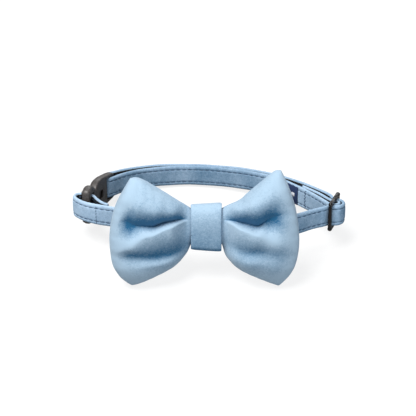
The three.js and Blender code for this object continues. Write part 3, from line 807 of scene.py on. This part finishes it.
# ---- Label
# A small woven navy tape sewn to the strap's inner layer beside the slider, on the side next to the neck,
# with a row of plain white blocks woven across it.
LABEL_RUN = (410.2, 429.8)
LABEL_HEIGHT = 9.4
LABEL_THICK = 0.4
LABEL_SEATED = 0.1  # how deep it lies in the velvet
LABEL_EDGE = 0.12
LABEL_STEPS = 40
THREADS_ALONG = 1.3
BLOCKS = 5
BLOCK_FROM = 3.2
BLOCK_PITCH = 3
BLOCK_WIDE = 2.2
BLOCK_LOW = -0.75
BLOCK_HIGH = 1.2
BLOCK_SUNK = 0.05
BLOCK_PROUD = 0.08
BLOCK_STEPS = 6
navy, nodes, links, shader = new_material("woven label")
where = nodes.new("ShaderNodeUVMap")
where.uv_map = "tape"
weave = nodes.new("ShaderNodeTexBrick")
weave.inputs["Scale"].default_value = 3
weave.inputs["Color1"].default_value = (0.011, 0.03, 0.10, 1)
weave.inputs["Color2"].default_value = (0.016, 0.042, 0.13, 1)
weave.inputs["Mortar"].default_value = (0.006, 0.015, 0.05, 1)
links.new(where.outputs["UV"], weave.inputs["Vector"])
links.new(weave.outputs["Color"], shader.inputs["Base Color"])
shader.inputs["Roughness"].default_value = 0.75


def upright_band(run_from, run_to, low, high, inside, outside, steps):
    """Points and faces of a flat strip that stands off the strap's right face."""
    runs = np.linspace(run_from, run_to, steps)
    at = np.stack([np.interp(runs, strap_run, strap_line[:, k]) for k in range(2)], axis=1)
    side = np.stack([np.interp(runs, strap_run, strap_side[:, k]) for k in range(2)], axis=1)
    section = ((inside, low), (outside - LABEL_EDGE, low), (outside, low + LABEL_EDGE),
               (outside, high - LABEL_EDGE), (outside - LABEL_EDGE, high), (inside, high))
    rings = [[(*(at[k] - side[k] * away), z) for away, z in section] for k in range(steps)]
    return np.array(rings).reshape(-1, 3), tube_faces(steps, len(section))


velvet_face = STRAP_THICK / 2
label_face = velvet_face + LABEL_THICK
points, faces = upright_band(*LABEL_RUN, -LABEL_HEIGHT / 2, LABEL_HEIGHT / 2, velvet_face - LABEL_SEATED,
                             label_face, LABEL_STEPS)
label = make_piece("woven_label", points, faces, navy)
tape = label.data.uv_layers.new(name="tape")
to_level = collar_frame.inverted()
level = np.array([to_level @ vertex.co for vertex in label.data.vertices])
corners = np.array([corner.vertex_index for corner in label.data.loops])
tape.data.foreach_set("uv", np.stack([level[corners, 0] * THREADS_ALONG, level[corners, 2]], axis=1).ravel())
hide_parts("label")

white, _, _, shader = new_material("white label thread")
shader.inputs["Base Color"].default_value = (0.75, 0.77, 0.82, 1)
shader.inputs["Roughness"].default_value = 0.7
blocks, block_faces = [], []
for k in range(BLOCKS):
    left = LABEL_RUN[0] + BLOCK_FROM + k * BLOCK_PITCH
    points, faces = upright_band(left, left + BLOCK_WIDE, BLOCK_LOW, BLOCK_HIGH, label_face - BLOCK_SUNK,
                                 label_face + BLOCK_PROUD, BLOCK_STEPS)
    block_faces += [tuple(int(v) + len(blocks) for v in face) for face in faces]
    blocks += points.tolist()
make_piece("label_blocks", np.array(blocks), block_faces, white)

# ---- Slider
# A cast metal ladder slider under glossy black, with three upright bars and a rounded knob at each end of
# every bar. The strap runs in behind its front bar, over the middle one and out inside the back one, and
# its sewn end holds the middle bar.
SLIDER_MIDDLE = (60.6, -3)
SLIDER_TURN = math.radians(70)
SLIDER_PITCH = 7
SLIDER_BAR = 1.9
SLIDER_THICK = 1.5
SLIDER_OPEN = 11.4
SLIDER_RAIL = 1.6
SLIDER_CORNER = 1.8
SLIDER_SOFT = 0.62
KNOB_RADIUS = 1.15
KNOB_BELOW_END = 0.95
KNOB_INSET = 0.3
THROUGH = 4  # how far a cutter reaches either side of a piece's middle


def block(name, low, high):
    """A box between two corners, in millimetres."""
    low, high = np.array(low, float), np.array(high, float)
    bpy.ops.object.select_all(action="DESELECT")
    bpy.ops.mesh.primitive_cube_add(size=1, location=(low + high) / 2)
    made = bpy.context.active_object
    made.name = name
    made.scale = high - low
    bpy.ops.object.transform_apply(location=True, rotation=True, scale=True)
    return made


def shape_with(piece, kind, **settings):
    """Put one modifier on a piece and apply it."""
    pick(piece)
    modifier = piece.modifiers.new(kind, kind)
    for name, value in settings.items():
        setattr(modifier, name, value)
    bpy.ops.object.modifier_apply(modifier=modifier.name)


def cut(piece, cutter):
    """Take a cutter's shape out of a piece, and the cutter away."""
    shape_with(piece, "BOOLEAN", operation="DIFFERENCE", solver="EXACT", object=cutter)
    bpy.data.objects.remove(cutter)


def join_on(piece, other):
    """Make another shape one with a piece."""
    shape_with(piece, "BOOLEAN", operation="UNION", solver="EXACT", object=other)
    bpy.data.objects.remove(other)


def edit_edges(piece, test):
    """Open a piece for editing with just the edges picked whose two ends pass the test."""
    pick(piece)
    bpy.ops.object.mode_set(mode="EDIT")
    bpy.ops.mesh.select_mode(type="EDGE")
    bpy.ops.mesh.select_all(action="DESELECT")
    bpy.ops.object.mode_set(mode="OBJECT")
    for edge in piece.data.edges:
        a, b = (piece.data.vertices[v].co for v in edge.vertices)
        edge.select = test(a, b)
    bpy.ops.object.mode_set(mode="EDIT")


def finish_hard(piece, matrix, material):
    """Stand a modelled piece in its place with smooth rounded edges."""
    piece.data.transform(matrix)
    pick(piece)
    bpy.ops.object.shade_smooth_by_angle(angle=math.radians(50))
    piece.data.materials.clear()
    piece.data.materials.append(material)
    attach(piece, "root")


half_x = SLIDER_PITCH + SLIDER_BAR / 2
half_z = SLIDER_OPEN / 2 + SLIDER_RAIL
slider = block("metal_slider", (-half_x, -SLIDER_THICK / 2, -half_z), (half_x, SLIDER_THICK / 2, half_z))
edit_edges(slider, lambda a, b: abs(a.y - b.y) > 1)
bpy.ops.mesh.bevel(offset=SLIDER_CORNER, segments=6, affect="EDGES")
bpy.ops.object.mode_set(mode="OBJECT")
for sign in (-1, 1):
    near, far = sorted((sign * SLIDER_BAR / 2, sign * (SLIDER_PITCH - SLIDER_BAR / 2)))
    cut(slider, block("opening", (near, -THROUGH, -SLIDER_OPEN / 2), (far, THROUGH, SLIDER_OPEN / 2)))
shape_with(slider, "BEVEL", width=SLIDER_SOFT, segments=4, limit_method="ANGLE", angle_limit=math.radians(40))
for sign in (-1, 1):
    for x in (KNOB_INSET - SLIDER_PITCH, 0, SLIDER_PITCH - KNOB_INSET):
        spot = (x, 0, sign * (half_z - KNOB_BELOW_END))
        bpy.ops.object.select_all(action="DESELECT")
        bpy.ops.mesh.primitive_uv_sphere_add(segments=24, ring_count=16, radius=KNOB_RADIUS, location=spot)
        join_on(slider, bpy.context.active_object)

black_metal, _, shader = two_tone("black coated metal", "Noise", {"Scale": 300},
                                  dark=(0.003, 0.0025, 0.0025), pale=(0.012, 0.010, 0.010), roughness=0.2)
shader.inputs["Specular IOR Level"].default_value = 0.5
in_collar = collar_frame @ Matrix.Translation((*SLIDER_MIDDLE, 0)) @ Matrix.Rotation(SLIDER_TURN, 4, "Z")
finish_hard(slider, in_collar, black_metal)
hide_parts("slider")

# ---- Buckle clip
# The moulded plastic half with a barbed tongue, fastened into the socket. Its far end is a rounded arch
# whose bar the strap is sewn round. It is modelled straight, S along it, and then curved to the neck.
BUCKLE_START = Vector((-60.2, 1))
BUCKLE_END = Vector((-49.8, 32.4))
BUCKLE_RADIUS = 90
BUCKLE_THICK = 4.4
BUCKLE_HALF = 9.6
CLIP_BAR = 3.4
CLIP_SLOT = 4.4
CLIP_LENGTH = 11.4
CLIP_WAIST = 5.6
SLOT_HALF = 5.9
TONGUE_LENGTH = 9.5
TONGUE_HALF = 2.9
TONGUE_THICK = 1.8
TONGUE_ROOT = 1.4
BARB = 0.7
BARB_FROM = 3
BARB_TO = 1
BARB_THINNER = 0.05
CLOSE = 0.01
chord = BUCKLE_END - BUCKLE_START
buckle_length = 2 * BUCKLE_RADIUS * math.asin(chord.length / 2 / BUCKLE_RADIUS)
buckle_turn = math.atan2(chord.y, chord.x)
rise = BUCKLE_RADIUS * math.cos(buckle_length / 2 / BUCKLE_RADIUS)
arc_centre = (BUCKLE_START + BUCKLE_END) / 2 + rise * Vector((math.sin(buckle_turn), -math.cos(buckle_turn)))


def curve_to_neck(piece):
    """Bend a straight piece, X along it and Y away from the neck, onto the buckle's arc."""
    for vertex in piece.data.vertices:
        s, out, z = vertex.co
        angle = math.pi / 2 + (buckle_length / 2 - s) / BUCKLE_RADIUS + buckle_turn
        reach = BUCKLE_RADIUS + out
        vertex.co = (arc_centre.x + reach * math.cos(angle), arc_centre.y + reach * math.sin(angle), z)


def outlined(name, start, end, rows, cuts):
    """A block divided along its length, with its height drawn in to the half heights in the rows."""
    made = block(name, (start, -BUCKLE_THICK / 2, -BUCKLE_HALF), (end, BUCKLE_THICK / 2, BUCKLE_HALF))
    edit_edges(made, lambda a, b: abs(a.x - b.x) > 1)
    bpy.ops.mesh.subdivide(number_cuts=cuts)
    bpy.ops.mesh.select_mode(type="VERT")
    places = [start + (end - start) * k / (cuts + 1) for k in range(cuts + 2)]
    halves = eased(np.array(places), *zip(*rows))
    for place_s, half in zip(places, halves):
        bpy.ops.mesh.select_all(action="DESELECT")
        bpy.ops.object.mode_set(mode="OBJECT")
        for vertex in made.data.vertices:
            vertex.select = abs(vertex.co.x - place_s) < CLOSE
        bpy.ops.object.mode_set(mode="EDIT")
        bpy.ops.transform.resize(value=(1, 1, float(half) / BUCKLE_HALF), center_override=(place_s, 0, 0))
    bpy.ops.object.mode_set(mode="OBJECT")
    return made


def round_outline(piece, outside, inside, arched=False):
    """Round the long edges of a block by a reach for each face, and those of its end at 0 if it is arched."""
    for sign, reach in ((1, outside), (-1, inside)):
        def picked(a, b):
            on_face = min(sign * a.y, sign * b.y) > BUCKLE_THICK / 2 - CLOSE
            return on_face and (a.z * b.z > 0 or (arched and max(a.x, b.x) < CLOSE))

        edit_edges(piece, picked)
        bpy.ops.mesh.bevel(offset=reach, segments=6, affect="EDGES")
        bpy.ops.object.mode_set(mode="OBJECT")


# Half heights along the clip: place, half height.
clip = outlined("plastic_clip", 0, CLIP_LENGTH, (
    (0, 7), (0.5, 8.2), (2, 9.2), (5, 9.6), (8, 8.8), (10, 7.2), (CLIP_LENGTH, CLIP_WAIST)), cuts=21)
round_outline(clip, outside=1.9, inside=1.5, arched=True)
cut(clip, block("slot", (CLIP_BAR, -THROUGH, -SLOT_HALF), (CLIP_BAR + CLIP_SLOT, THROUGH, SLOT_HALF)))
shape_with(clip, "BEVEL", width=0.6, segments=3, limit_method="ANGLE", angle_limit=math.radians(50))
tongue_end = CLIP_LENGTH + TONGUE_LENGTH
join_on(clip, block("tongue", (CLIP_LENGTH - TONGUE_ROOT, -TONGUE_THICK / 2, -TONGUE_HALF),
                    (tongue_end, TONGUE_THICK / 2, TONGUE_HALF)))
barb_y = TONGUE_THICK / 2 - BARB_THINNER
barb_z = TONGUE_HALF + BARB
join_on(clip, block("barb", (tongue_end - BARB_FROM, -barb_y, -barb_z),
                    (tongue_end - BARB_TO, barb_y, barb_z)))

plastic, _, _ = two_tone("moulded plastic", "Noise", {"Scale": 1500, "Detail": 4},
                         dark=(0.050, 0.044, 0.042), pale=(0.098, 0.089, 0.086), roughness=0.42,
                         ramp=(0.35, 0.65), relief=(0.25, 0.00008))
curve_to_neck(clip)
finish_hard(clip, collar_frame, plastic)
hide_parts("buckle_clip")

# ---- Buckle socket
# The other moulded half. Its mouth holds the clip's tongue, which shows in a window on the inner face,
# and the strap turns round the bar beyond its slot.
SOCKET_BAR = 3
SOCKET_BAR_THICK = 2.6
SOCKET_SLOT = 5.6
WINDOW_HALF = 2.2
WINDOW_FROM = 3.4
WINDOW_SHORT = 1.2
WINDOW_CORNER = 0.7
SOCKET_GAP = 0.3
MOUTH_ROOM = 0.8
MOUTH_HIGHER = 1
BEVEL_MERGE = 0.02
start = CLIP_LENGTH + SOCKET_GAP
end = buckle_length


def merge_close(piece, reach):
    """Join the points that a rounded edge has run together."""
    edit_edges(piece, lambda a, b: False)
    bpy.ops.mesh.select_all(action="SELECT")
    bpy.ops.mesh.remove_doubles(threshold=reach)
    bpy.ops.mesh.dissolve_degenerate(threshold=reach)
    bpy.ops.object.mode_set(mode="OBJECT")


# Half heights along the socket: place, half height.
socket = outlined("plastic_socket", start, end, (
    (start, CLIP_WAIST), (start + 2, 7.2), (start + 5, 8.3), (start + 8, 8.3), (end - 9, 7.8), (end - 5, 7.3),
    (end - 2, 6.8), (end, 5.6)), cuts=29)
round_outline(socket, outside=2.0, inside=0.9)
bar_from = end - SOCKET_BAR
cut(socket, block("slot", (bar_from - SOCKET_SLOT, -THROUGH, -SLOT_HALF), (bar_from, THROUGH, SLOT_HALF)))
# The bar is thinner than the socket on both sides.
for near, far in ((SOCKET_BAR_THICK / 2, THROUGH), (-THROUGH, -SOCKET_BAR_THICK / 2)):
    cut(socket, block("beside bar", (bar_from - 0.1, near, -SLOT_HALF), (end + 1, far, SLOT_HALF)))
shape_with(socket, "BEVEL", width=0.5, segments=3, limit_method="ANGLE", angle_limit=math.radians(50))
merge_close(socket, BEVEL_MERGE)
mouth_end = tongue_end + MOUTH_ROOM
mouth_half = TONGUE_HALF + MOUTH_HIGHER
cut(socket, block("mouth", (start - 1, -TONGUE_THICK / 2 - SOCKET_GAP, -mouth_half),
                  (mouth_end, TONGUE_THICK / 2 + SOCKET_GAP, mouth_half)))
window = block("window", (start + WINDOW_FROM, -THROUGH, -WINDOW_HALF),
               (mouth_end - WINDOW_SHORT, 0, WINDOW_HALF))
edit_edges(window, lambda a, b: abs(a.y - b.y) > 1)
bpy.ops.mesh.bevel(offset=WINDOW_CORNER, segments=4, affect="EDGES")
bpy.ops.object.mode_set(mode="OBJECT")
cut(socket, window)
curve_to_neck(socket)
finish_hard(socket, collar_frame, plastic)
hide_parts("buckle_socket")
